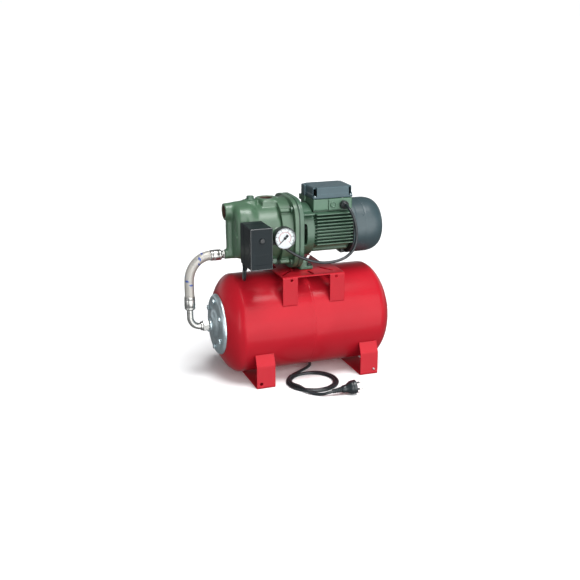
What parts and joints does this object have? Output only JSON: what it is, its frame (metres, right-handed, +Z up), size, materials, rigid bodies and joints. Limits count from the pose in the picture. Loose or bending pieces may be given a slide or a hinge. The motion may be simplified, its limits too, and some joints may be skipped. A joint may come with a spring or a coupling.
{
  "type": "shallow well jet pump",
  "caption": "Electric self-priming jet pump on a horizontal pressure tank, with pressure switch, gauge, braided hose and mains lead.",
  "frame": {"origin": "on the floor, under the middle of the set's bounding box without its loose mains lead", "axes": "+X along the tank and motor shaft, from the hose flange to the motor's fan; +Y from the gauge side to the back; +Z up"},
  "size_m": [0.6032, 0.423, 0.5218],
  "materials": {
    "black_plastic": "fine grain",
    "brass": "cast and turned",
    "copper": "varnished laminations and windings",
    "glass": "clear",
    "green_paint": "satin",
    "grey_plastic": "fine grain",
    "nickel": "bright nickel plate",
    "red_paint": "gloss",
    "resin": "moulded",
    "rubber": "matt",
    "steel": "ground",
    "zinc": "bright zinc plate"
  },
  "bodies": {
    "set": {"tank_shell": "red_paint", "tank_membrane": "rubber", "tank_flange": "zinc", "flange_bolt_1": "zinc", "flange_bolt_2": "zinc", "flange_bolt_3": "zinc", "flange_bolt_4": "zinc", "flange_bolt_5": "zinc", "flange_bolt_6": "zinc", "air_valve": "brass", "left_foot": "red_paint", "right_foot": "red_paint", "saddle_bracket": "red_paint", "pump_casing": "green_paint", "ejector": "resin", "diffuser": "resin", "seal_seat": "rubber", "casing_gasket": "rubber", "casing_bolt_1": "zinc", "casing_bolt_2": "zinc", "casing_bolt_3": "zinc", "casing_bolt_4": "zinc", "motor_bracket": "green_paint", "foot_bolt_front": "zinc", "foot_bolt_back": "zinc", "stator_core": "copper", "front_bearing": "steel", "rear_bearing": "steel", "motor_housing": "green_paint", "rear_shield": "green_paint", "fan_cover": "grey_plastic", "terminal_base": "green_paint", "terminal_cover": "black_plastic", "capacitor": "resin", "motor_gland": "black_plastic", "switch_base": "black_plastic", "switch_cover": "black_plastic", "switch_cover_nut": "black_plastic", "gauge_case": "black_plastic", "gauge_lens": "glass", "hose_nipple": "nickel", "upper_ferrule": "nickel", "hose": "steel", "hose_elbow": "nickel", "elbow_nut": "nickel", "motor_lead": "rubber", "mains_lead": "rubber", "mains_lead_coil": "rubber", "mains_lead_tail": "rubber", "mains_plug": "rubber"},
    "rotor": {"motor_shaft": "steel", "rotor_core": "steel", "impeller": "brass", "cooling_fan": "black_plastic", "seal_rotary_ring": "steel"},
    "pointer": {"gauge_pointer": "black_plastic"},
    "filler_plug": {"filler_plug": "green_paint"},
    "drain_plug": {"drain_plug": "steel"},
    "valve_cap": {"air_valve_cap": "black_plastic"},
    "lever": {"switch_lever": "steel"}
  },
  "joints": [
    {"name": "rotor_spin", "type": "hinge", "parent": "set", "child": "rotor", "pos_m": [0.07825, 0.0222, 0.4008], "axis": [1, 0, 0], "continuous": true},
    {"name": "gauge_needle", "type": "hinge", "parent": "set", "child": "pointer", "pos_m": [-0.06015, -0.1118, 0.412], "axis": [0, 1, 0], "range_deg": [0, 270], "stiffness_Nm_per_rad": 0.001},
    {"name": "filler_plug_lift", "type": "slide", "parent": "set", "child": "filler_plug", "axis": [0, 0, 1], "range_m": [0, 0.03]},
    {"name": "drain_plug_pull", "type": "slide", "parent": "set", "child": "drain_plug", "axis": [0, -1, 0], "range_m": [0, 0.02]},
    {"name": "valve_cap_pull", "type": "slide", "parent": "set", "child": "valve_cap", "axis": [1, 0, 0], "range_m": [0, 0.02]},
    {"name": "switch_lever_tilt", "type": "hinge", "parent": "set", "child": "lever", "pos_m": [-0.12225, -0.0898, 0.366], "axis": [1, 0, 0], "range_deg": [-4, 4], "stiffness_Nm_per_rad": 2}
  ]
}
